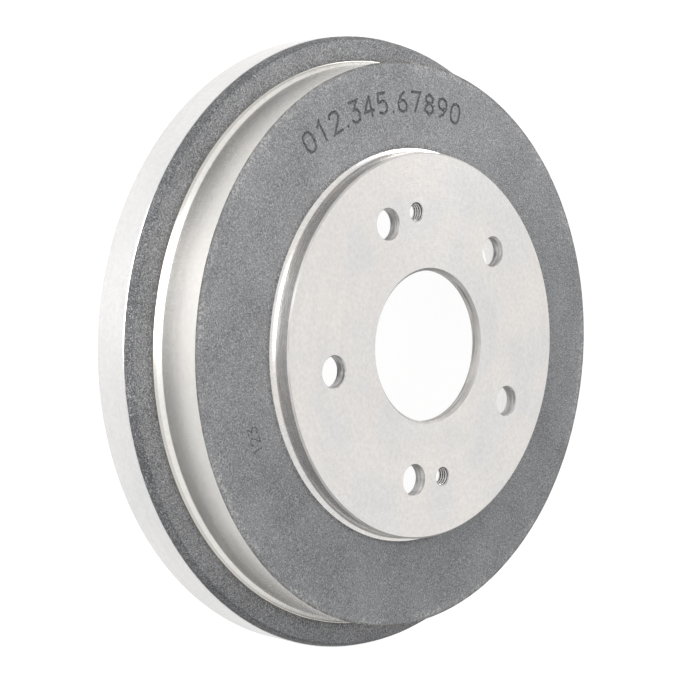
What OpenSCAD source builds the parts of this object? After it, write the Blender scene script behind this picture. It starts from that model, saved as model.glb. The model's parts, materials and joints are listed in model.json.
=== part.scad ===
// Brake drum of cast iron, turned where it runs, seats and shows.
// The origin is the centre of the friction ring's open end, and the hub face looks along +Z.

/* [Overall] */
// Height from the friction ring's open end to the hub face
total_h = 58.4; // [54:0.1:68]
// Diameter of the friction surface
friction_d = 220; // [200:0.1:240]
// Thickness of the friction wall above the flange
wall_t = 10.3; // [7:0.1:13]

/* [Hub boss] */
// Diameter of the recess inside that takes the hub flange
seat_d = 148; // [136:0.5:160]
// Radius in the corner of that recess
seat_fillet = 2; // [0.5:0.1:4]
// Thickness of the boss's wall round that recess
boss_wall = 7.9; // [5:0.1:12]
// Height of the hub face above the cast front face at the boss
boss_h = 8.6; // [6:0.1:11]
// Chamfer round the hub face
boss_chamfer = 0.7; // [0.3:0.1:1.5]
// Radius of the turned fillet at the foot of the boss
boss_fillet = 2.5; // [1:0.1:4]
// Thickness of the hub plate between its two turned faces
plate_t = 5.2; // [4:0.1:7]

/* [Holes in the hub plate] */
// Diameter of the pilot bore
pilot_d = 64.1; // [56:0.1:80]
// Chamfer at both ends of the pilot bore
pilot_chamfer = 1.15; // [0.3:0.05:1.5]
// Diameter of the circle through the stud holes
stud_pcd = 114.3; // [108:0.1:120]
// Number of stud holes
stud_count = 5; // [4:1:6]
// Diameter of a stud hole
stud_hole_d = 13.1; // [11:0.1:15]
// Chamfer at the front of a stud hole
stud_chamfer = 0.3; // [0.1:0.05:0.8]
// Nominal diameter of the two pull-off threads
pull_d = 8; // [6:0.5:10]
// Pitch of a pull-off thread
pull_pitch = 1.25; // [0.75:0.25:1.5]
// Angle from the first stud hole to the first pull-off thread
pull_angle = -18; // [-26:1:-16]

/* [Front web] */
// Fall of the cast front face from the boss to the outer wall
face_drop = 1.7; // [0:0.1:3]
// Thickness of the cast web at the outer wall
web_t = 6; // [4.5:0.1:8]
// Radius on the inner edge of the web, where the hub recess begins
web_round = 4; // [1:0.1:5]

/* [Flange] */
// Height of the cast face of the flange above the rim's end
flange_h = 21.2; // [19:0.1:25]
// Height of the turned band round the rim, from its end
rim_band_h = 17.1; // [14:0.1:18]
// Chamfer at the top of that band
band_chamfer = 0.3; // [0.1:0.1:0.8]
// Slant of the cast side above the band, measured inwards
side_taper = 1.3; // [0.5:0.1:2]
// Radius on the outer edge of the cast flange face
flange_round = 1.5; // [0.5:0.1:2]
// Chamfer at the rim's end
rim_chamfer = 0.7; // [0.3:0.1:1.5]
// Radius of the turned fillet between the outer wall and the flange
wall_fillet = 7; // [4:0.1:9]
// Depth of that fillet's foot under the cast flange face
fillet_sink = 2; // [0.5:0.1:3]

/* [Open end] */
// Thickness of the friction ring beside the dust groove
ring_t = 8.45; // [6:0.05:10]
// Width of the dust groove that the backing plate's edge turns in
groove_w = 9; // [6:0.1:12]
// Thickness of the outer skirt beyond the dust groove
skirt_t = 6.2; // [5:0.1:9]
// Depth of the dust groove from the rim's end
groove_depth = 14; // [10:0.1:15]
// Radius in the two corners at the bottom of the dust groove
groove_fillet = 2; // [0.5:0.1:3]
// How far the friction ring stands proud of the rim's end
ring_proud = 4; // [1:0.1:6]
// Lead-in chamfer of the friction surface
lead_in = 0.5; // [0.3:0.1:2]
// Small chamfer on the other edges of the open end
edge_chamfer = 0.5; // [0.2:0.1:1]
// Width of the relief at the inner end of the friction surface
relief_w = 3; // [1.5:0.1:5]
// Depth of that relief
relief_depth = 0.8; // [0.5:0.1:1.5]

/* [Hidden] */
$fn = 180;
// How far a cutter runs past the face that it cuts
overrun = 1;
iron = [0.70, 0.70, 0.69];

pilot_r = pilot_d / 2;
seat_r = seat_d / 2;
boss_r = seat_r + boss_wall;
friction_r = friction_d / 2;
relief_r = friction_r + relief_depth;
wall_r = friction_r + wall_t;
groove_inner_r = friction_r + ring_t;
groove_outer_r = groove_inner_r + groove_w;
rim_r = groove_outer_r + skirt_t;

plate_z = total_h - plate_t;
boss_foot_z = total_h - boss_h;
face_edge_z = boss_foot_z - face_drop;
web_z = face_edge_z - web_t;
flange_z = ring_proud + flange_h;
band_z = ring_proud + rim_band_h;
groove_z = ring_proud + groove_depth;

// Corners of half the section as [radius, height, rounding]: out along the front, down the outside,
// in across the open end and back up the inside
corners = [
    [pilot_r, total_h - pilot_chamfer, 0],
    [pilot_r + pilot_chamfer, total_h, 0],
    [boss_r - boss_chamfer, total_h, 0],
    [boss_r, total_h - boss_chamfer, 0],
    [boss_r, boss_foot_z, boss_fillet],
    [wall_r, face_edge_z, 0],
    [wall_r, flange_z, 0],
    [rim_r - band_chamfer - side_taper, flange_z, flange_round],
    [rim_r - band_chamfer, band_z, 0],
    [rim_r, band_z - band_chamfer, 0],
    [rim_r, ring_proud + rim_chamfer, 0],
    [rim_r - rim_chamfer, ring_proud, 0],
    [groove_outer_r + edge_chamfer, ring_proud, 0],
    [groove_outer_r, ring_proud + edge_chamfer, 0],
    [groove_outer_r, groove_z, groove_fillet],
    [groove_inner_r, groove_z, groove_fillet],
    [groove_inner_r, edge_chamfer, 0],
    [groove_inner_r - edge_chamfer, 0, 0],
    [friction_r + lead_in, 0, 0],
    [friction_r, lead_in, 0],
    [friction_r, web_z - relief_w, 0],
    [relief_r, web_z - relief_w, 0],
    [relief_r, web_z, relief_depth],
    [seat_r, web_z, web_round],
    [seat_r, plate_z, seat_fillet],
    [pilot_r + pilot_chamfer, plate_z, 0],
    [pilot_r, plate_z + pilot_chamfer, 0],
];

function flat(corner) = [corner[0], corner[1]];
function unit(v) = v / norm(v);
function before(i) = flat(corners[(i + len(corners) - 1) % len(corners)]);
function after(i) = flat(corners[(i + 1) % len(corners)]);

// Positive at an outward corner of the section, negative at an inward one
function turn(i) =
    let (a = flat(corners[i]) - before(i), b = after(i) - flat(corners[i]))
    a[1] * b[0] - a[0] * b[1];

// What lies between a corner and the arc that touches both of its sides, towards p and towards q
module corner_sliver(corner, p, q, radius) {
    u = unit(p - corner);
    v = unit(q - corner);
    half_angle = acos(u * v) / 2;
    reach = radius / tan(half_angle);
    centre = corner + unit(u + v) * radius / sin(half_angle);
    difference() {
        polygon([corner, corner + u * reach, centre, corner + v * reach]);
        translate(centre) circle(radius);
    }
}

module rounded_corners(outward) {
    for (i = [0 : len(corners) - 1])
        if (corners[i][2] > 0 && (turn(i) > 0) == outward)
            corner_sliver(flat(corners[i]), before(i), after(i), corners[i][2]);
}

// The outer wall's fillet is turned into the cast flange, so its foot lies under the cast face
module wall_fillet_sliver() {
    foot = [wall_r, flange_z - fillet_sink];
    corner_sliver(foot, foot + [0, 1], foot + [1, 0], wall_fillet);
}

module section() {
    difference() {
        union() {
            polygon([for (c = corners) flat(c)]);
            rounded_corners(false);
            wall_fillet_sliver();
        }
        rounded_corners(true);
    }
}

// Cutter for a hole through the hub plate, with a chamfer at its front
module plate_hole(d, chamfer) {
    translate([0, 0, plate_z - overrun]) cylinder(d = d, h = plate_t + 2 * overrun);
    translate([0, 0, total_h - chamfer])
        cylinder(d1 = d, d2 = d + 2 * (chamfer + overrun), h = chamfer + overrun);
}

module stud_holes() {
    for (i = [0 : stud_count - 1])
        rotate(i * 360 / stud_count) translate([stud_pcd / 2, 0, 0])
            plate_hole(stud_hole_d, stud_chamfer);
}

// A pull-off hole is cut at its tapping size, and its chamfer opens to just past the thread
module pull_holes() {
    for (side = [0, 180])
        rotate(side + pull_angle) translate([stud_pcd / 2, 0, 0])
            plate_hole(pull_d - pull_pitch, 0.7 * pull_pitch);
}

module brake_drum() {
    color(iron) difference() {
        rotate_extrude() section();
        stud_holes();
        pull_holes();
    }
}

brake_drum();
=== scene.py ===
"""Studio picture of a brake drum: one casting of grey iron, turned where it seats, runs and shows.

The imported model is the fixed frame. The drum made here stands for its one solid and has the same section,
but for the foot of the outer wall, which is drawn as an arc, a short cone and a tight arc. It adds the cast
skin, the tool marks, the threads and the figures sunk into the front face. Lengths are in millimetres up to
the point where a mesh is written, as on the drawing of such a part.
"""

import json
import logging
import math
from dataclasses import dataclass, field, replace
from enum import Enum

import bmesh
import bpy
from mathutils import Matrix, Vector, noise


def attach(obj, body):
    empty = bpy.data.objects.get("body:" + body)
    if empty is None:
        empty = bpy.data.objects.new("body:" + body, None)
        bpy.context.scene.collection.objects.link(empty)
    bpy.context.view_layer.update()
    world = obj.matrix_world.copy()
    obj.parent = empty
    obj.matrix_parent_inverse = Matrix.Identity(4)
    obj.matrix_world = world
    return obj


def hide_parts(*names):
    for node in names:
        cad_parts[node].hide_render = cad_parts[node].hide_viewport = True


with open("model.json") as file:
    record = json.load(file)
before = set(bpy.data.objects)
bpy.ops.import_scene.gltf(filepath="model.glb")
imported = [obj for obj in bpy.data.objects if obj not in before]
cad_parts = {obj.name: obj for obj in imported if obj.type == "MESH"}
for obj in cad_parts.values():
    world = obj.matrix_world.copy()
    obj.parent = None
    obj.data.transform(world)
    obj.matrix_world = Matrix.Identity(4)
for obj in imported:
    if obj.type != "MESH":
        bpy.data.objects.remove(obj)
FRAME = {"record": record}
MM = 0.001
ROOT = "root"
DRUM_NODE = "brake_drum"
log = logging.getLogger("brake_drum")

Colour = tuple[float, float, float]
Point2 = tuple[float, float]
Socket = bpy.types.NodeSocket
Material = bpy.types.Material
Piece = bpy.types.Object


class Surface(Enum):
    """How a stretch of the casting is finished."""

    CAST = "cast_skin"
    FACED = "faced_iron"
    TURNED = "turned_iron"
    WALL = "turned_wall"
    FILLET = "turned_fillet_painted_highlight"
    BOSS = "boss_side"
    FRICTION = "friction_surface"
    BORED = "bored_wall"
    DRILLED = "drilled_wall"
    CHAMFER = "hole_chamfer"
    THREAD = "cut_thread"
    # Thread root: a dark colour painted as shade deep in the thread.
    ROOT = "thread_root_painted_shade"
    # Sunk figure: a dark colour painted as shade and dirt in the grooves.
    FIGURE = "sunk_figure_painted_shade_and_dirt"

    @property
    def place(self) -> int:
        """Number of this finish's slot on the drum's mesh."""
        return list(Surface).index(self)


def mount(name: str) -> dict:
    """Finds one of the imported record's mounts by its name."""
    return next(m for m in FRAME["record"]["mounts"] if m["name"] == name)


def mount_height(name: str) -> float:
    """Height of a mount's point above the drum's open end, in millimetres."""
    return mount(name)["pos_m"][2] / MM


class Tree:
    """The node tree of the world or of a material, with a short call for what both need."""

    def __init__(self, tree: bpy.types.NodeTree) -> None:
        """Takes hold of a tree's nodes and links."""
        self.nodes, self.links = tree.nodes, tree.links

    def feed(self, socket: Socket, value: object) -> None:
        """Links an output to a socket, or sets the socket to a plain value.

        Args:
            socket: The input to fill.
            value: An output socket, a number or a colour.
        """
        if isinstance(value, Socket):
            self.links.new(value, socket)
        else:
            socket.default_value = (*value, 1.0) if socket.type == "RGBA" else value

    def add(self, kind: str, inputs: dict[int | str, object], output: int | str = 0,
            **settings: object) -> Socket:
        """Adds a node.

        Args:
            kind: Blender's name for the kind of node.
            inputs: A plain value or an output socket for each input.
            output: Which of its outputs is wanted.
            settings: The node's own settings.

        Returns:
            The output's socket.
        """
        node = self.nodes.new(kind)
        for name, value in settings.items():
            setattr(node, name, value)
        for place, value in inputs.items():
            self.feed(node.inputs[place], value)
        return node.outputs[output]

    def math(self, operation: str, first: object, *terms: object) -> Socket:
        """Adds a Math node for each term after the first, or one node if there is no other term.

        Args:
            operation: Blender's name for the sum.
            first: First term, a number or a socket.
            terms: The terms that follow, each applied to the result so far.

        Returns:
            The result's socket.
        """
        for term in terms or (0.0,):
            first = self.add("ShaderNodeMath", {0: first, 1: term}, operation=operation)
        return first

    def seen(self) -> tuple[Socket, Socket]:
        """Tells rays that show the background from those that light the drum.

        Returns:
            What is 1 for camera rays, and what is 1 for camera, glossy and transmitted rays, else 0.
        """
        direct = self.add("ShaderNodeLightPath", {}, "Is Camera Ray")
        others = (direct.node.outputs[name] for name in ("Is Glossy Ray", "Is Transmission Ray"))
        return direct, self.math("MAXIMUM", direct, *others)

    def show(self, output: str, share: Socket, first: Socket, second: Socket) -> None:
        """Mixes two shaders and links them to the output node of that name."""
        either = self.add("ShaderNodeMixShader", {0: share, 1: first, 2: second})
        self.links.new(either, self.nodes[output].inputs["Surface"])


class Recipe(Tree):
    """One material's node tree, with a short call for each node that the finishes use."""

    def __init__(self, name: str) -> None:
        """Starts a material and the coordinates that turned work needs.

        Args:
            name: The material's name.
        """
        self.material = bpy.data.materials.new(name)
        self.material.use_nodes = True
        super().__init__(self.material.node_tree)
        self.shader = self.nodes["Principled BSDF"]
        self.place = self.add("ShaderNodeTexCoord", {}, "Object")
        x, y, self.height = self.add("ShaderNodeSeparateXYZ", {0: self.place}).node.outputs
        squares = (self.math("MULTIPLY", side, side) for side in (x, y))
        self.radius = self.math("SQRT", self.math("ADD", *squares))
        self.cosine, self.sine = (self.math("DIVIDE", side, self.radius) for side in (x, y))

    def remap(self, value: Socket, low: float, high: float, to_low: object = 0.0,
              to_high: object = 1.0) -> Socket:
        """Maps one range of a value on to another and clamps it there."""
        return self.add("ShaderNodeMapRange", dict(enumerate((value, low, high, to_low, to_high))))

    def noise(self, per_mm: float, detail: float, vector: Socket | None = None) -> Socket:
        """Adds cloudy noise, with its waves in a millimetre, or in one unit of a vector that is given."""
        scale, place = (per_mm / MM, self.place) if vector is None else (per_mm, vector)
        return self.add("ShaderNodeTexNoise", {"Vector": place, "Scale": scale, "Detail": detail}, "Fac")

    def grains(self, per_mm: float) -> Socket:
        """Adds a field of separate grains, each of which draws a number from 0 to 1 at random."""
        drawn = self.add("ShaderNodeTexVoronoi", {"Vector": self.place, "Scale": per_mm / MM}, "Color")
        return self.add("ShaderNodeSeparateColor", {0: drawn})

    def stretched(self, across: float, upright: float) -> Socket:
        """Makes the vector that draws noise out, from its waves in a millimetre across and upright."""
        waves = (across / MM, across / MM, upright / MM)
        return self.add("ShaderNodeVectorMath", {0: self.place, 1: waves}, operation="MULTIPLY")

    def rings(self, along: Socket, per_mm: float, around: float) -> Socket:
        """Makes the vector that draws noise out into arcs round the drum's axis, as a lathe tool does.

        Args:
            along: Radius on a flat face, or height on a round one.
            per_mm: Waves in a millimetre across the tool marks.
            around: Waves in one radian round the axis.

        Returns:
            The vector's socket.
        """
        terms = ((along, per_mm / MM), (self.cosine, around), (self.sine, around))
        terms = (self.math("MULTIPLY", socket, waves) for socket, waves in terms)
        return self.add("ShaderNodeCombineXYZ", dict(enumerate(terms)))

    def blend(self, share: object, first: object, second: object) -> Socket:
        """Mixes two colours, of which the second shows by the share given."""
        return self.add("ShaderNodeMix", {"Factor": share, 6: first, 7: second}, 2, data_type="RGBA")

    def bump(self, height: object, depth: float) -> Socket:
        """Turns heights into a bumped normal. The depth in millimetres is that of a height of 1."""
        return self.add("ShaderNodeBump", {"Distance": depth * MM, "Height": height}, "Normal")

    def finish(self, **inputs: object) -> Material:
        """Fills the shader's inputs and gives the material back.

        Args:
            inputs: Value or socket for each input, named as on the shader with _ for a space.

        Returns:
            The finished material.
        """
        for name, value in inputs.items():
            self.feed(self.shader.inputs[name.replace("_", " ")], value)
        return self.material


@dataclass(frozen=True)
class Seam:
    """A line where the cast skin meets a turned face, and the reach and noise of the marks along it."""

    radius: float
    reach: float
    per_mm: float


@dataclass(frozen=True)
class CastSkin:
    """The shot-blasted skin of the casting: fine light and dark grains, stained beside the turned faces,
    and darkened by painted shade near the wall's and the boss's feet, on the flange and on its outer side.
    """

    light: Colour = (0.485, 0.49, 0.50)
    dark: Colour = (0.052, 0.053, 0.056)
    chip: Colour = (0.66, 0.65, 0.62)
    stain: Colour = (0.13, 0.115, 0.10)
    fine_per_mm: float = 2.2
    fine_share: float = 0.62
    grains_per_mm: float = 2.6
    grain_share: float = 0.4
    bright_share: float = 0.35
    clouds_per_mm: float = 0.05
    cloud_share: float = 0.06
    fillet_seam: Seam = Seam(122.4, 1.2, 0.12)
    wall_seam: Seam = Seam(120.3, 1.0, 0.25)
    chip_seam: Seam = Seam(118.5, 2.6, 0.05)
    chips_per_mm: float = 1.3
    chip_share: float = 0.6
    # Painted shade, partly standing for dirt: the front face darkens from boss_start in towards the boss's
    # foot.
    boss_start: float = 86.0
    boss_foot: float = 84.4
    boss_painted_shade: float = 0.2
    # Painted shade: the flange face, below these heights, is darker all over.
    flange_top: float = 26.2
    flange_clear: float = 28.2
    flange_painted_shade: float = 0.13
    # Painted shade, partly standing for dirt: the flange darkens from foot_start in towards the wall's
    # foot.
    foot_start: float = 125.9
    foot_painted_shade: float = 0.16
    # Painted shade: the flange's upright outer side is darker than its top, from side_start outwards.
    side_start: float = 131.1
    side_end: float = 131.9
    side_painted_shade: float = 0.28
    bump_depth: float = 0.3

    def tone(self, mix: Recipe, fine: Socket, draw: Socket) -> Socket:
        """Lightness of the skin, from dark to light, with its painted shade taken off.

        Args:
            mix: The material's recipe.
            fine: Fine noise.
            draw: What each grain draws.

        Returns:
            The tone's socket.
        """
        clouds = mix.noise(self.clouds_per_mm, 3.0)
        tone = mix.math(
            "ADD",
            mix.remap(fine, 0.25, 0.75, 0.0, self.fine_share),
            mix.remap(draw, 0.0, 1.0, 0.0, self.grain_share),
            mix.remap(draw, 0.9, 1.0, 0.0, self.bright_share),
            mix.remap(clouds, 0.3, 0.7, -self.cloud_share, self.cloud_share),
        )
        # Painted shade in ramps by radius: towards the wall's foot, towards the boss's foot and on the
        # flange's outer side.
        painted_shade_ramps = (
            (self.foot_start, self.fillet_seam.radius, self.foot_painted_shade),
            (self.boss_start, self.boss_foot, self.boss_painted_shade),
            (self.side_start, self.side_end, self.side_painted_shade),
        )
        foot, boss, side = (
            mix.remap(mix.radius, start * MM, end * MM, 0.0, shade) for start, end, shade in painted_shade_ramps
        )
        # The wall foot's painted shade and the flange's own painted shade fall only on the flange.
        on_flange = mix.remap(mix.height, self.flange_top * MM, self.flange_clear * MM, 1.0, 0.0)
        flange = mix.math("MULTIPLY", mix.math("ADD", foot, self.flange_painted_shade), on_flange)
        return mix.math("SUBTRACT", tone, flange, boss, side)

    def marks(self, mix: Recipe, seam: Seam) -> Socket:
        """Picks broken stretches of the line where the skin meets a turned face.

        Args:
            mix: The material's recipe.
            seam: The line.

        Returns:
            The share's socket.
        """
        away = mix.math("ABSOLUTE", mix.math("SUBTRACT", mix.radius, seam.radius * MM))
        near = mix.remap(away, 0.0, seam.reach * MM, 1.0, 0.0)
        return mix.math("MULTIPLY", near, mix.remap(mix.noise(seam.per_mm, 3.0), 0.38, 0.55))

    def material(self, name: str) -> Material:
        """Builds the finish.

        Args:
            name: The material's name.

        Returns:
            The material.
        """
        mix = Recipe(name)
        draw = mix.grains(self.grains_per_mm)
        fine = mix.noise(self.fine_per_mm, 3.0)
        colour = mix.blend(self.tone(mix, fine, draw), self.dark, self.light)
        for seam in (self.fillet_seam, self.wall_seam):
            colour = mix.blend(self.marks(mix, seam), colour, self.stain)
        chipped = mix.remap(mix.grains(self.chips_per_mm), 0.74, 0.8)
        chips = mix.math("MULTIPLY", self.marks(mix, self.chip_seam), chipped, self.chip_share)
        rough = mix.remap(fine, 0.3, 0.7, 0.62, 0.52)
        return mix.finish(Base_Color=mix.blend(chips, colour, self.chip), Metallic=0.3, Roughness=rough,
                          Normal=mix.bump(fine, self.bump_depth))


@dataclass(frozen=True)
class LatheWork:
    """Bare iron left bright by a lathe tool, with clouds and broken arcs of tool marks."""

    colour: Colour = (0.825, 0.79, 0.76)
    cool: Colour = (0.785, 0.78, 0.78)
    smut: Colour = (0.50, 0.482, 0.46)
    roughness: float = 0.24
    torn_roughness: float = 0.36
    stretch: float = 0.4
    mark_depth: float = 0.004
    mark_pitch: float = 0.35
    marks_around: float = 6.0
    torn_pitch: float = 0.07
    torn_around: float = 9.0
    torn_start: float = 0.42
    torn_span: float = 0.26
    bands_per_mm: float = 0.22
    bands_around: float = 1.6
    clouds_per_mm: float = 0.035
    dust_per_mm: float = 0.55
    smut_share: float = 0.3
    clouds_in_smut: float = 0.35
    marks_in_smut: float = 0.3
    run_out: Point2 | None = None
    run_out_share: float = 0.45
    round_work: bool = False

    def material(self, name: str) -> Material:
        """Builds the finish.

        Args:
            name: The material's name.

        Returns:
            The material.
        """
        mix = Recipe(name)
        along = mix.height if self.round_work else mix.radius
        marks = mix.noise(1.0, 3.0, mix.rings(along, 1.0 / self.mark_pitch, self.marks_around))
        torn = mix.noise(1.0, 2.0, mix.rings(along, 1.0 / self.torn_pitch, self.torn_around))
        bands = mix.noise(1.0, 2.0, mix.rings(along, self.bands_per_mm, self.bands_around))
        clouds = mix.noise(self.clouds_per_mm, 4.0)
        dust = mix.noise(self.dust_per_mm, 4.0)
        colour = mix.blend(mix.remap(clouds, 0.35, 0.65), self.colour, self.cool)
        marks_smut = self.smut_share * self.marks_in_smut
        smut = mix.math(
            "ADD",
            mix.remap(dust, 0.3, 0.75, 0.0, self.smut_share),
            mix.remap(clouds, 0.35, 0.7, 0.0, self.smut_share * self.clouds_in_smut),
            mix.remap(bands, 0.35, 0.7, 0.0, marks_smut),
            mix.remap(marks, 0.3, 0.75, 0.0, marks_smut),
        )
        colour = mix.blend(smut, colour, self.smut)
        if self.run_out:
            start, end = self.run_out
            dulled = mix.remap(mix.radius, start * MM, end * MM, 0.0, self.run_out_share)
            colour = mix.blend(dulled, colour, self.smut)
        torn_end = self.torn_start + self.torn_span
        rough = mix.remap(torn, self.torn_start, torn_end, self.roughness, self.torn_roughness)
        rough = mix.math("ADD", rough, mix.remap(bands, 0.3, 0.7, -0.02, 0.03))
        tangent = mix.add("ShaderNodeTangent", {}, direction_type="RADIAL", axis="Z")
        bumped = mix.bump(marks, self.mark_depth)
        return mix.finish(Base_Color=colour, Metallic=1.0, Roughness=rough, Anisotropic=self.stretch,
                          Anisotropic_Rotation=0.25, Tangent=tangent, Normal=bumped)


@dataclass(frozen=True)
class GreyIron:
    """The duller grey iron of a hole's wall, with fine tool marks round it; also the dark painted shade of
    a thread's root, and the painted shade and dirt of a sunk figure.
    """

    light: Colour = (0.72, 0.71, 0.70)
    dark: Colour = (0.09, 0.088, 0.086)
    metallic: float = 0.3
    roughness: float = 0.4
    dull_more: float = 0.08
    bright_less: float = 0.06
    across: float = 0.12
    upright: float = 0.9
    patch_across: float = 0.22
    patch_upright: float = 0.06
    patch_share: float = 0.3
    streak_depth: float = 0.01

    def material(self, name: str) -> Material:
        """Builds the finish.

        Args:
            name: The material's name.

        Returns:
            The material.
        """
        mix = Recipe(name)
        streaks = mix.noise(1.0, 3.0, mix.stretched(self.across, self.upright))
        patches = mix.noise(1.0, 2.0, mix.stretched(self.patch_across, self.patch_upright))
        tone = mix.math("ADD", mix.remap(streaks, 0.3, 0.7, 0.0, 1.0 - self.patch_share),
                        mix.remap(patches, 0.35, 0.65, 0.0, self.patch_share))
        rough = self.roughness
        if self.dull_more:
            rough = mix.remap(streaks, 0.3, 0.7, rough + self.dull_more, rough - self.bright_less)
        return mix.finish(Base_Color=mix.blend(tone, self.dark, self.light), Metallic=self.metallic,
                          Roughness=rough, Normal=mix.bump(streaks, self.streak_depth))


def drum_finishes() -> list[Material]:
    """Builds the drum's finishes.

    Returns:
        One material for each surface, in the order of Surface.
    """
    turned = LatheWork(colour=(0.775, 0.762, 0.75), cool=(0.745, 0.745, 0.748), roughness=0.2,
                       torn_roughness=0.62, stretch=0.7, mark_depth=0.0012, torn_pitch=0.03,
                       torn_around=300.0, torn_start=0.49, smut_share=0.2, round_work=True)
    wall = replace(turned, colour=(0.79, 0.765, 0.73), cool=(0.762, 0.747, 0.725), roughness=0.22,
                   torn_start=0.46)
    # The fillet is the wall's iron with a lighter colour: a painted highlight along the wall's foot.
    fillet = replace(wall, colour=(0.90, 0.875, 0.835), cool=(0.87, 0.853, 0.825), smut=(0.41, 0.385, 0.35),
                     torn_roughness=0.58, stretch=0.68, torn_start=0.45, smut_share=0.12,
                     run_out=(121.5, 121.75))
    finishes = {
        Surface.CAST: CastSkin(),
        Surface.FACED: LatheWork(),
        Surface.TURNED: turned,
        Surface.WALL: wall,
        Surface.FILLET: fillet,
        Surface.BOSS: LatheWork(roughness=0.2, torn_roughness=0.32, stretch=0.5, mark_depth=0.002,
                                round_work=True),
        Surface.FRICTION: LatheWork(colour=(0.84, 0.82, 0.80), roughness=0.28, torn_roughness=0.4,
                                    stretch=0.6, mark_depth=0.006, smut_share=0.15, round_work=True),
        Surface.BORED: GreyIron(light=(0.66, 0.64, 0.615), dark=(0.16, 0.15, 0.14), metallic=0.35,
                                across=0.05, patch_across=0.06),
        Surface.DRILLED: GreyIron(),
        Surface.CHAMFER: GreyIron(light=(0.50, 0.485, 0.47), dark=(0.34, 0.33, 0.32), metallic=0.5,
                                  roughness=0.5, across=0.05),
        Surface.THREAD: GreyIron(light=(0.74, 0.73, 0.72), dark=(0.5, 0.49, 0.48), metallic=0.9,
                                 roughness=0.32),
        # Thread roots: a dark colour painted as shade deep in the thread.
        Surface.ROOT: GreyIron(light=(0.13, 0.125, 0.12), dark=(0.04, 0.04, 0.04), roughness=0.6),
        # Sunk figures: a dark colour painted as shade and dirt in the grooves.
        Surface.FIGURE: GreyIron(light=(0.25, 0.25, 0.255), dark=(0.035, 0.035, 0.037), metallic=0.2,
                                 roughness=0.65, dull_more=0.0, across=1.3, upright=1.3, patch_share=0.0,
                                 streak_depth=0.3),
    }
    return [finishes[surface].material(surface.value) for surface in Surface]


@dataclass(frozen=True)
class Corner:
    """One corner of the half section, or one ring of the mesh, and the finish of what follows it."""

    radius: float
    height: float
    surface: Surface
    rounding: float = 0.0

    @property
    def point(self) -> Vector:
        """The corner as a vector of radius and height."""
        return Vector((self.radius, self.height))


def arc(corner: Vector, before: Vector, after: Vector, radius: float, step: float) -> list[Vector]:
    """Rounds a corner of the section.

    Args:
        corner: The corner.
        before: A point on the side that leads to it.
        after: A point on the side that leaves it.
        radius: Radius of the round or fillet.
        step: Largest turn between two points of the arc, in radians.

    Returns:
        The arc's points, from the first side to the second.
    """
    first, second = (before - corner).normalized(), (after - corner).normalized()
    half = first.angle(second) / 2
    centre = corner + (first + second).normalized() * (radius / math.sin(half))
    start = corner + first * (radius / math.tan(half)) - centre
    stop = corner + second * (radius / math.tan(half)) - centre
    sweep = math.pi - 2 * half
    sweep = math.copysign(sweep, start.x * stop.y - start.y * stop.x)
    count = max(2, math.ceil(abs(sweep) / step))
    return [centre + Matrix.Rotation(sweep * i / count, 2) @ start for i in range(count + 1)]


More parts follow.
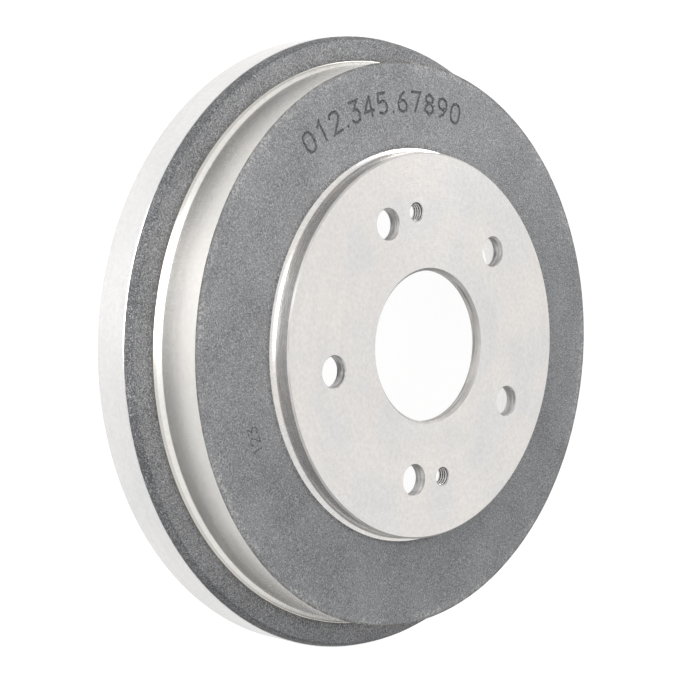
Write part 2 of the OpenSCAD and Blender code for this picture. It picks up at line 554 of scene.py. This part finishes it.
@dataclass
class Section:
    """Half section of the drum. What the frame doesn't state is named here, as on the drawing."""

    total_height: float = field(default_factory=lambda: mount_height("hub_face"))
    plate_height: float = field(default_factory=lambda: mount_height("hub_seat"))
    pilot_radius: float = field(default_factory=lambda: mount("pilot_bore")["dims"]["r_mm"])
    friction_radius: float = field(default_factory=lambda: mount("friction_surface")["dims"]["r_mm"])
    wall_thickness: float = 10.3
    seat_radius: float = 74.0
    seat_fillet: float = 2.0
    boss_wall: float = 7.9
    boss_rise: float = 8.6
    boss_chamfer: float = 0.7
    boss_fillet: float = 2.5
    pilot_chamfer: float = 1.15
    face_drop: float = 1.7
    web_thickness: float = 6.0
    web_round: float = 4.0
    flange_rise: float = 21.2
    band_rise: float = 17.1
    band_chamfer: float = 0.3
    side_taper: float = 1.3
    flange_round: float = 1.5
    rim_chamfer: float = 0.7
    wall_fillet: float = 1.5
    cone_length: float = 2.7
    cone_turn: float = math.radians(36)
    foot_fillet: float = 0.5
    foot_turn: float = math.radians(75)
    ring_thickness: float = 8.45
    groove_width: float = 9.0
    groove_depth: float = 14.0
    groove_fillet: float = 2.0
    skirt_thickness: float = 6.2
    ring_proud: float = 4.0
    lead_in: float = 0.5
    edge_chamfer: float = 0.5
    relief_width: float = 3.0
    relief_depth: float = 0.8
    arc_step: float = math.radians(10)
    shown_grain: float = 1.2
    hidden_grain: float = 4.0

    def __post_init__(self) -> None:
        """Works out the radii and heights that follow from the driving sizes."""
        self.boss_radius = self.seat_radius + self.boss_wall
        self.wall_radius = self.friction_radius + self.wall_thickness
        self.groove_inner = self.friction_radius + self.ring_thickness
        self.groove_outer = self.groove_inner + self.groove_width
        self.rim_radius = self.groove_outer + self.skirt_thickness
        self.boss_foot = self.total_height - self.boss_rise
        self.face_edge = self.boss_foot - self.face_drop
        self.web_height = self.face_edge - self.web_thickness
        self.flange_height = self.ring_proud + self.flange_rise
        self.band_height = self.ring_proud + self.band_rise
        self.groove_top = self.ring_proud + self.groove_depth

    def face_height(self, radius: float) -> float:
        """Height of the cast front face at a radius."""
        share = (radius - self.boss_radius) / (self.wall_radius - self.boss_radius)
        return self.boss_foot - self.face_drop * share

    def wall_foot(self) -> list[Corner]:
        """Makes the turned foot of the outer wall: an arc, a short cone and a tight arc.

        Returns:
            Corners from the wall down to the cast flange face.
        """
        points, turn = [Vector((0.0, 0.0))], 0.0
        for radius, stop in ((self.wall_fillet, self.cone_turn), (self.foot_fillet, self.foot_turn)):
            if turn:
                points.append(points[-1] + Vector((math.sin(turn), -math.cos(turn))) * self.cone_length)
            centre = points[-1] + Vector((math.cos(turn), math.sin(turn))) * radius
            count = math.ceil((stop - turn) / (self.arc_step / 2))
            for i in range(1, count + 1):
                angle = turn + (stop - turn) * i / count
                points.append(centre - Vector((math.cos(angle), math.sin(angle))) * radius)
            turn = stop
        drop = Vector((self.wall_radius, self.flange_height - points[-1].y))
        corners = [Corner(*(p + drop), Surface.FILLET) for p in points[:-1]]
        return corners + [Corner(*(points[-1] + drop), Surface.CAST)]

    def corners(self) -> list[Corner]:
        """Lays the section out: over the front, down the outside, across the open end and up the inside.

        Returns:
            Its corners, once round.
        """
        side = self.rim_radius - self.band_chamfer
        relief = self.friction_radius + self.relief_depth
        relief_foot = self.web_height - self.relief_width
        return [
            # hub face and web
            Corner(self.pilot_radius, self.total_height - self.pilot_chamfer, Surface.CHAMFER),
            Corner(self.pilot_radius + self.pilot_chamfer, self.total_height, Surface.FACED),
            Corner(self.boss_radius - self.boss_chamfer, self.total_height, Surface.CHAMFER),
            Corner(self.boss_radius, self.total_height - self.boss_chamfer, Surface.BOSS),
            Corner(self.boss_radius, self.boss_foot, Surface.CAST, self.boss_fillet),
            Corner(self.wall_radius, self.face_edge, Surface.WALL),
            *self.wall_foot(),
            # flange and rim
            Corner(side - self.side_taper, self.flange_height, Surface.CAST, self.flange_round),
            Corner(side, self.band_height, Surface.TURNED),
            Corner(self.rim_radius, self.band_height - self.band_chamfer, Surface.TURNED),
            Corner(self.rim_radius, self.ring_proud + self.rim_chamfer, Surface.TURNED),
            Corner(self.rim_radius - self.rim_chamfer, self.ring_proud, Surface.FACED),
            # skirt's end, dust groove and end of the friction ring
            Corner(self.groove_outer + self.edge_chamfer, self.ring_proud, Surface.TURNED),
            Corner(self.groove_outer, self.ring_proud + self.edge_chamfer, Surface.TURNED),
            Corner(self.groove_outer, self.groove_top, Surface.FACED, self.groove_fillet),
            Corner(self.groove_inner, self.groove_top, Surface.TURNED, self.groove_fillet),
            Corner(self.groove_inner, self.edge_chamfer, Surface.TURNED),
            Corner(self.groove_inner - self.edge_chamfer, 0.0, Surface.FACED),
            Corner(self.friction_radius + self.lead_in, 0.0, Surface.TURNED),
            # friction surface, its relief, the web's inner face and the hub seat
            Corner(self.friction_radius, self.lead_in, Surface.FRICTION),
            Corner(self.friction_radius, relief_foot, Surface.TURNED),
            Corner(relief, relief_foot, Surface.TURNED),
            Corner(relief, self.web_height, Surface.CAST, self.relief_depth),
            Corner(self.seat_radius, self.web_height, Surface.TURNED, self.web_round),
            Corner(self.seat_radius, self.plate_height, Surface.FACED, self.seat_fillet),
            Corner(self.pilot_radius + self.pilot_chamfer, self.plate_height, Surface.TURNED),
            Corner(self.pilot_radius, self.plate_height + self.pilot_chamfer, Surface.BORED),
        ]

    def rings(self) -> list[Corner]:
        """Rounds the corners and splits the cast stretches finely enough to carry their relief.

        Returns:
            The rings of the revolved mesh, once round the section.
        """
        corners = self.corners()
        outline: list[Corner] = []
        for i, corner in enumerate(corners):
            before, after = corners[i - 1], corners[(i + 1) % len(corners)]
            if corner.rounding:
                points = arc(corner.point, before.point, after.point, corner.rounding, self.arc_step)
                runs_out = corner.surface is Surface.CAST and before.surface is Surface.BOSS
                own = len(points) - (2 if runs_out else 1)
                outline += [Corner(*p, before.surface) for p in points[:own]]
                outline += [Corner(*p, corner.surface) for p in points[own:]]
            else:
                outline.append(corner)
        pairs = zip(outline, outline[1:] + outline[:1])
        return [ring for start, stop in pairs for ring in self.split(start, stop)]

    def split(self, start: Corner, stop: Corner) -> list[Corner]:
        """Splits one band of the section.

        Args:
            start: The ring that the band starts at.
            stop: The ring that it ends at.

        Returns:
            The starting ring and the ones between, without the last.
        """
        if start.surface is not Surface.CAST:
            return [start]
        hidden = start.point.y < self.face_edge and start.point.x < self.wall_radius
        grain = self.hidden_grain if hidden else self.shown_grain
        count = max(1, round((stop.point - start.point).length / grain))
        return [Corner(*start.point.lerp(stop.point, i / count), start.surface) for i in range(count)]


def new_piece(name: str, points: list, faces: list, places: list[int], finishes: list[Material]) -> Piece:
    """Makes an object from points in millimetres.

    Args:
        name: The object's name.
        points: Corner points.
        faces: Lists of point numbers.
        places: Finish slot of each face.
        finishes: Materials in slot order.

    Returns:
        The new object, linked to the scene.
    """
    mesh = bpy.data.meshes.new(name)
    mesh.from_pydata([Vector(p) * MM for p in points], [], faces)
    for finish in finishes:
        mesh.materials.append(finish)
    mesh.polygons.foreach_set("material_index", places)
    mesh.update()
    piece = bpy.data.objects.new(name, mesh)
    bpy.context.scene.collection.objects.link(piece)
    return piece


def cut(piece: Piece, cutter: Piece) -> None:
    """Cuts one closed solid out of another and deletes the cutter.

    Args:
        piece: What is cut. Its mesh is replaced.
        cutter: The solid that is taken away.
    """
    modifier = piece.modifiers.new("cut", "BOOLEAN")
    modifier.operation = "DIFFERENCE"
    modifier.solver = "MANIFOLD"
    modifier.object = cutter
    graph = bpy.context.evaluated_depsgraph_get()
    result = bpy.data.meshes.new_from_object(piece.evaluated_get(graph))
    before = piece.data
    piece.modifiers.clear()
    piece.data = result
    bpy.data.meshes.remove(before)
    bpy.data.meshes.remove(cutter.data)


@dataclass
class PlateHole:
    """A hole drilled through the hub plate, chamfered at its front and threaded if it has a pitch.

    root_flat and flank are shares of the pitch. The root's finish, a painted shade, starts at dark_share of
    the depth.
    """

    x: float
    y: float
    radius: float
    chamfer: float
    surface: Surface
    pitch: float = 0.0
    thread_depth: float = 0.0
    root_flat: float = 0.125
    flank: float = 0.625
    dark_share: float = 0.4
    rows_per_pitch: int = 14
    columns: int = 72
    overrun: float = 1.0

    def wall(self, turn: float, height: float) -> float:
        """Radius of the bare wall at one place.

        Args:
            turn: Share of a full turn.
            height: Height in millimetres.

        Returns:
            The radius, out to the thread's root where one is cut.
        """
        if not self.pitch:
            return self.radius
        from_root = abs((height / self.pitch - turn) % 1.0 - 0.5) * 2
        crest_share = min(1.0, max(0.0, (from_root - self.root_flat) / self.flank))
        return self.radius + self.thread_depth * (1.0 - crest_share)

    def finish_at(self, turn: float, height: float, high: float) -> Surface:
        """Finish of the cut at one place.

        Args:
            turn: Share of a full turn.
            height: Height in millimetres.
            high: Height of the hub face.

        Returns:
            The bare wall's finish, or in a threaded hole also the chamfer's or the thread root's painted
            shade.
        """
        wall = self.wall(turn, height)
        if self.pitch and self.radius + self.chamfer + height - high > wall:
            return Surface.CHAMFER
        # Deep in the thread the root takes its painted shade.
        in_root = self.pitch and wall > self.radius + self.dark_share * self.thread_depth
        return Surface.ROOT if in_root else self.surface

    def cutter(self, low: float, high: float, finishes: list[Material]) -> Piece:
        """Makes the solid that cuts this hole.

        Args:
            low: Height of the plate's back.
            high: Height of the hub face.
            finishes: The drum's materials, so that the cut keeps its finish.

        Returns:
            A closed solid that runs past both faces.
        """
        length = high - low + 2 * self.overrun
        step = self.pitch / self.rows_per_pitch if self.pitch else length
        levels = {low - self.overrun + i * step for i in range(round(length / step))}
        heights = sorted(levels | {high - self.chamfer, high + self.overrun})
        points = []
        for height in heights:
            flare = self.radius + self.chamfer + height - high
            for column in range(self.columns):
                turn = column / self.columns
                radius = max(self.wall(turn, height), flare)
                x, y = (radius * along(turn * math.tau) for along in (math.cos, math.sin))
                points.append((self.x + x, self.y + y, height))
        n = self.columns
        faces, places = [], []
        for row, (start, stop) in enumerate(zip(heights, heights[1:])):
            first, second = row * n, (row + 1) * n
            for c in range(n):
                after = (c + 1) % n
                faces.append((first + c, first + after, second + after, second + c))
                places.append(self.finish_at((c + 0.5) / n, (start + stop) / 2, high).place)
        faces += [tuple(range(n - 1, -1, -1)), tuple(range(len(points) - n, len(points)))]
        places += [self.surface.place] * 2
        return new_piece("cutter", points, faces, places, finishes)


Stroke = tuple[tuple[int, int], ...]
STROKES: dict[str, tuple[Stroke, ...]] = {
    "0": (((30, 0), (50, 8), (60, 30), (60, 70), (50, 92), (30, 100), (10, 92), (0, 70), (0, 30), (10, 8),
           (30, 0)),),
    "1": (((10, 78), (34, 100), (34, 0)),),
    "2": (((0, 76), (8, 94), (30, 100), (52, 94), (60, 74), (52, 54), (0, 0), (62, 0)),),
    "3": (((2, 100), (58, 100), (26, 60), (48, 56), (60, 34), (54, 10), (30, 0), (8, 6), (0, 20)),),
    "4": (((44, 100), (0, 30), (64, 30)), ((44, 102), (44, 0))),
    "5": (((56, 100), (8, 100), (4, 56), (30, 64), (52, 56), (60, 34), (52, 10), (28, 0), (0, 10)),),
    "6": (((50, 100), (20, 78), (2, 40), (6, 12), (30, 0), (54, 10), (60, 32), (50, 52), (28, 58),
           (10, 48)),),
    "7": (((0, 100), (60, 100), (20, 0)),),
    "8": (((30, 54), (52, 66), (55, 84), (30, 100), (5, 84), (8, 66), (30, 54)),
          ((30, 56), (54, 42), (60, 20), (30, 0), (0, 20), (6, 42), (30, 56))),
    ".": (((0, 2), (10, 2)),),
}
STROKES["9"] = (tuple((60 - x, 100 - y) for x, y in STROKES["6"][0]),)


@dataclass
class SunkFigures:
    """A row of plain figures sunk into the cast front face, read clockwise from outside the drum.

    Its strokes are in hundredths of the figures' height, and its pitches are shares of that height.
    """

    text: str
    section: Section
    foot_radius: float
    start_degrees: float
    size: float
    stroke: float
    depth: float
    pitch: float = 0.88
    dot_pitch: float = 0.42
    proud: float = 0.6
    floor_share: float = 0.6
    least_mitre: float = 0.35

    def place(self, along: float, up: float) -> Vector:
        """Puts a point of the row on the cast face.

        Args:
            along: Distance along the row.
            up: Distance outwards from the figures' feet.

        Returns:
            The point, at the face's own height.
        """
        radius = self.foot_radius + up
        angle = math.radians(self.start_degrees) - along / self.foot_radius
        height = self.section.face_height(radius)
        return Vector((radius * math.cos(angle), radius * math.sin(angle), height))

    def paths(self) -> list[list[list[Vector]]]:
        """Lays the row out.

        Returns:
            Layers of strokes. Strokes of one layer never cross.
        """
        layers: list[list[list[Vector]]] = [[], []]
        along = 0.0
        for figure in self.text:
            for layer, stroke in zip(layers, STROKES[figure]):
                steps = ((x / 100 * self.size, y / 100 * self.size) for x, y in stroke)
                layer.append([self.place(along + x, y) for x, y in steps])
            along += self.size * (self.dot_pitch if figure == "." else self.pitch)
        return [layer for layer in layers if layer]

    def groove(self, path: list[Vector], mesh: bmesh.types.BMesh) -> None:
        """Sweeps the groove's section along one stroke.

        Args:
            path: The stroke's points on the face.
            mesh: Where the closed solid is added.
        """
        closed = path[0] == path[-1]
        points = path[:-1] if closed else path
        half = self.stroke / 2
        floor = self.floor_share * half
        right = ((half, self.proud), (half, 0.0), (floor, -self.depth))
        section = (*right, *((-s, z) for s, z in right[::-1]))
        last = len(points) - 1
        loops = []
        for i, point in enumerate(points):
            behind, ahead = points[i - 1], points[(i + 1) % len(points)]
            arrive, leave = (point - behind).normalized(), (ahead - point).normalized()
            if not closed:
                arrive, leave = (arrive if i else leave), (leave if i < last else arrive)
            along = (arrive + leave).normalized()
            reach = 1.0 / max(self.least_mitre, along.dot(leave))
            side = Vector((along.y, -along.x, 0.0)).normalized() * reach
            loops.append([mesh.verts.new(point + side * s + Vector((0, 0, z))) for s, z in section])
        pairs = zip(loops, loops[1:] + loops[:1]) if closed else zip(loops, loops[1:])
        for first, second in pairs:
            for k in range(len(section)):
                after = (k + 1) % len(section)
                mesh.faces.new((first[k], first[after], second[after], second[k]))
        if not closed:
            mesh.faces.new(loops[0][::-1])
            mesh.faces.new(loops[-1])

    def cutters(self, finishes: list[Material]) -> list[Piece]:
        """Makes the solids that cut the row.

        Args:
            finishes: The drum's materials.

        Returns:
            One cutter for each layer of strokes.
        """
        made = []
        for layer in self.paths():
            grooves = bmesh.new()
            for path in layer:
                self.groove(path, grooves)
            bmesh.ops.recalc_face_normals(grooves, faces=grooves.faces)
            points = [v.co.copy() for v in grooves.verts]
            grooves.verts.index_update()
            faces = [[v.index for v in f.verts] for f in grooves.faces]
            grooves.free()
            # The grooves take the figures' dark finish: painted shade and dirt.
            made.append(new_piece("cutter", points, faces, [Surface.FIGURE.place] * len(faces), finishes))
        return made


@dataclass
class Casting:
    """The brake drum itself."""

    section: Section = field(default_factory=Section)
    columns: int = 480
    mottle: float = 0.05
    mottle_per_mm: float = 0.3
    swell: float = 0.06
    swell_per_mm: float = 0.05
    stud_chamfer: float = 0.3
    thread_pitch: float = 1.25
    thread_chamfer: float = 0.875
    thread_depth: float = 0.625
    sharp_degrees: float = 14.0

    def relief(self, point: Vector) -> float:
        """Height of the cast skin over its drawn surface, in millimetres, at a point."""
        slow = self.swell * noise.noise(point * self.swell_per_mm)
        return self.mottle * noise.fractal(point * self.mottle_per_mm, 1.0, 2.0, 3) + slow

    def lift(self, rings: list[Corner], i: int) -> Vector:
        """Works out which way a ring moves with the cast skin's relief.

        Args:
            rings: The section's rings.
            i: Number of the ring.

        Returns:
            Direction in radius and height, square to the cast face or, at its edge, along the turned
            face beside it, and no length where no band beside the ring is cast.
        """
        here, before, after = rings[i].point, rings[i - 1], rings[(i + 1) % len(rings)]
        arrive, leave = (here - before.point).normalized(), (after.point - here).normalized()
        cast_before, cast_after = before.surface is Surface.CAST, rings[i].surface is Surface.CAST
        if not cast_before and not cast_after:
            return Vector((0.0, 0.0))
        if cast_before and cast_after:
            along = (arrive + leave).normalized()
            return Vector((-along.y, along.x))
        cast, turned = (arrive, leave) if cast_before else (leave, arrive)
        outward = Vector((-cast.y, cast.x))
        return turned * math.copysign(1.0, turned.dot(outward))

    def revolve(self, finishes: list[Material]) -> Piece:
        """Turns the section round the axis.

        Args:
            finishes: The drum's materials.

        Returns:
            The drum before its holes are cut.
        """
        rings = self.section.rings()
        points = []
        for i, ring in enumerate(rings):
            lift = self.lift(rings, i)
            radius, height = ring.point
            for column in range(self.columns):
                angle = math.tau * column / self.columns
                spoke = Vector((math.cos(angle), math.sin(angle), 0.0))
                point = spoke * radius + Vector((0.0, 0.0, height))
                if lift.length:
                    point += (spoke * lift.x + Vector((0.0, 0.0, lift.y))) * self.relief(point)
                points.append(point)
        faces, places = [], []
        for i, ring in enumerate(rings):
            first, second = i * self.columns, (i + 1) % len(rings) * self.columns
            for column in range(self.columns):
                after = (column + 1) % self.columns
                faces.append((first + column, second + column, second + after, first + after))
                places.append(ring.surface.place)
        return new_piece("drum_casting", points, faces, places, finishes)

    def holes(self) -> list[PlateHole]:
        """Lays out the holes of the hub plate.

        Returns:
            The stud holes and the two threaded holes.
        """
        studs = mount("stud_holes")["dims"]
        made = []
        for i in range(studs["count"]):
            angle = math.tau * i / studs["count"]
            x, y = (studs["pcd_mm"] / 2 * f(angle) for f in (math.cos, math.sin))
            made.append(PlateHole(x, y, studs["hole_r_mm"], self.stud_chamfer, Surface.DRILLED))
        for name in ("pull_off_thread_a", "pull_off_thread_b"):
            x, y, _ = (v / MM for v in mount(name)["pos_m"])
            made.append(PlateHole(x, y, mount(name)["dims"]["r_mm"], self.thread_chamfer, Surface.THREAD,
                                  self.thread_pitch, self.thread_depth))
        return made

    def figures(self) -> list[SunkFigures]:
        """Lays out the figures of the front face.

        Returns:
            A plain row, and a faint small one.
        """
        return [
            SunkFigures("012.345.67890", self.section, foot_radius=99.2, start_degrees=11.2, size=8.6,
                        stroke=1.25, depth=0.4, pitch=0.94),
            SunkFigures("123", self.section, foot_radius=94.8, start_degrees=87.5, size=4.6, stroke=0.55,
                        depth=0.12),
        ]

    def build(self) -> Piece:
        """Makes the drum, dresses it and puts it in the frame's place.

        Returns:
            The finished piece.
        """
        finishes = drum_finishes()
        drum = self.revolve(finishes)
        for hole in self.holes():
            cut(drum, hole.cutter(self.section.plate_height, self.section.total_height, finishes))
        for row in self.figures():
            for cutter in row.cutters(finishes):
                cut(drum, cutter)
        drum.data.shade_smooth()
        drum.data.set_sharp_from_angle(angle=math.radians(self.sharp_degrees))
        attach(drum, ROOT)
        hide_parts(DRUM_NODE)
        return drum


@dataclass(frozen=True)
class Softbox:
    """One square soft lamp that faces the middle of the drum's open end.

    Its turn from the first stud hole and lift above the floor are in degrees, its power in watts.
    """

    name: str
    turn: float
    lift: float
    power: float
    colour: Colour
    distance: float = 800.0
    size: float = 500.0

    def hang(self) -> None:
        """Hangs the lamp up."""
        turn, lift = math.radians(self.turn), math.radians(self.lift)
        out = self.distance * math.cos(lift)
        place = (out * math.cos(turn), out * math.sin(turn), self.distance * math.sin(lift))
        data = bpy.data.lights.new(self.name, "AREA")
        data.size, data.energy, data.color = self.size * MM, self.power, self.colour
        lamp = bpy.data.objects.new(self.name, data)
        lamp.location = Vector(place) * MM
        lamp.rotation_euler = (-lamp.location).to_track_quat("-Z", "Y").to_euler()
        bpy.context.scene.collection.objects.link(lamp)


@dataclass
class Studio:
    """Pale floor, white surroundings, soft lamps and the camera at the photo's angle."""

    focal_length: float = 88.56
    aim: Point2 = (26.8, 45.4)
    azimuth: float = 149.4
    elevation: float = 45.4
    roll: float = -92.99
    distance: float = 676.2
    floor_size: float = 6000.0
    floor_gap: float = 0.05
    floor_glow: float = 0.94
    floor_tone: float = 0.13
    plain_tone: float = 0.7
    mirrored_glow: float = 0.72
    # Inside inside_radius the floor glows brighter to glossy rays: painted light in the drum's shaded
    # hollow.
    painted_glow_inside: float = 1.0
    inside_radius: float = 112.0
    inside_fade: float = 6.0
    mirrored_tone: float = 0.4
    ambient: Colour = (0.39, 0.395, 0.405)
    softboxes: tuple[Softbox, ...] = (
        Softbox("front_softbox", turn=45.0, lift=19.0, power=6.0, colour=(1.0, 0.997, 0.992)),
        Softbox("back_softbox", turn=286.0, lift=20.0, power=2.8, colour=(1.0, 0.995, 0.985)),
    )

    def surroundings(self) -> None:
        """Fills the world: white where it shows, and a plain soft light where it only lights."""
        world = bpy.data.worlds.new("surroundings")
        bpy.context.scene.world = world
        world.use_nodes = True
        tree = Tree(world.node_tree)
        light = tree.nodes["Background"]
        tree.feed(light.inputs["Color"], self.ambient)
        white = tree.add("ShaderNodeBackground", {"Color": (1.0, 1.0, 1.0)})
        tree.show("World Output", tree.seen()[1], light.outputs[0], white)

    def floor(self) -> Piece:
        """Lays the floor a hair under the drum's open end, with painted light for glossy rays inside the
        drum's footprint.

        Returns:
            The floor.
        """
        half, low = self.floor_size / 2, -self.floor_gap
        corners = [(-half, -half, low), (half, -half, low), (half, half, low), (-half, half, low)]
        recipe = Recipe("floor")
        direct, shown = recipe.seen()
        # Painted light: inside the drum's footprint, glossy rays see the floor glow brighter than outside
        # it.
        fade_end = (self.inside_radius + self.inside_fade) * MM
        mirrored = recipe.remap(recipe.radius, self.inside_radius * MM, fade_end, self.painted_glow_inside,
                                self.mirrored_glow)
        glow = recipe.remap(direct, 0.0, 1.0, mirrored, self.floor_glow)
        tone = recipe.blend(direct, (self.mirrored_tone,) * 3, (self.floor_tone,) * 3)
        tone = recipe.blend(shown, (self.plain_tone,) * 3, tone)
        recipe.finish(Base_Color=tone, Roughness=0.9, Emission_Color=(1.0, 1.0, 1.0),
                      Emission_Strength=recipe.math("MULTIPLY", shown, glow))
        below = recipe.add("ShaderNodeNewGeometry", {}, "Backfacing")
        through = recipe.add("ShaderNodeBsdfTransparent", {})
        recipe.show("Material Output", below, recipe.shader.outputs[0], through)
        floor = new_piece("floor", corners, [(0, 1, 2, 3)], [0], [recipe.material])
        return floor

    def camera(self, height: float) -> None:
        """Sets the camera up at the photo's angle.

        Args:
            height: Height of the hub face, which the aim lies on.
        """
        data = bpy.data.cameras.new("camera")
        data.lens = self.focal_length
        camera = bpy.data.objects.new("camera", data)
        turn, lift = math.radians(self.azimuth), math.radians(self.elevation)
        back = Vector((math.sin(turn) * math.cos(lift), -math.cos(turn) * math.cos(lift), math.sin(lift)))
        camera.location = (Vector((*self.aim, height)) + back * self.distance) * MM
        level = (-back).to_track_quat("-Z", "Y").to_matrix()
        camera.rotation_euler = (level @ Matrix.Rotation(math.radians(-self.roll), 3, "Z")).to_euler()
        bpy.context.scene.collection.objects.link(camera)
        bpy.context.scene.camera = camera

    def build(self, height: float) -> None:
        """Sets up the whole studio.

        Args:
            height: Height of the hub face in millimetres.
        """
        bpy.context.scene.view_settings.view_transform = "Standard"
        self.surroundings()
        self.floor()
        for softbox in self.softboxes:
            softbox.hang()
        self.camera(height)


def main() -> None:
    """Builds the drum and the studio."""
    logging.basicConfig(level=logging.INFO, format="%(name)s: %(message)s")
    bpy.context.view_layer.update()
    casting = Casting()
    drum = casting.build()
    log.info("%s has %d faces", drum.name, len(drum.data.polygons))
    Studio().build(casting.section.total_height)
    log.info("studio is set up")


if __name__ == "__main__":
    main()
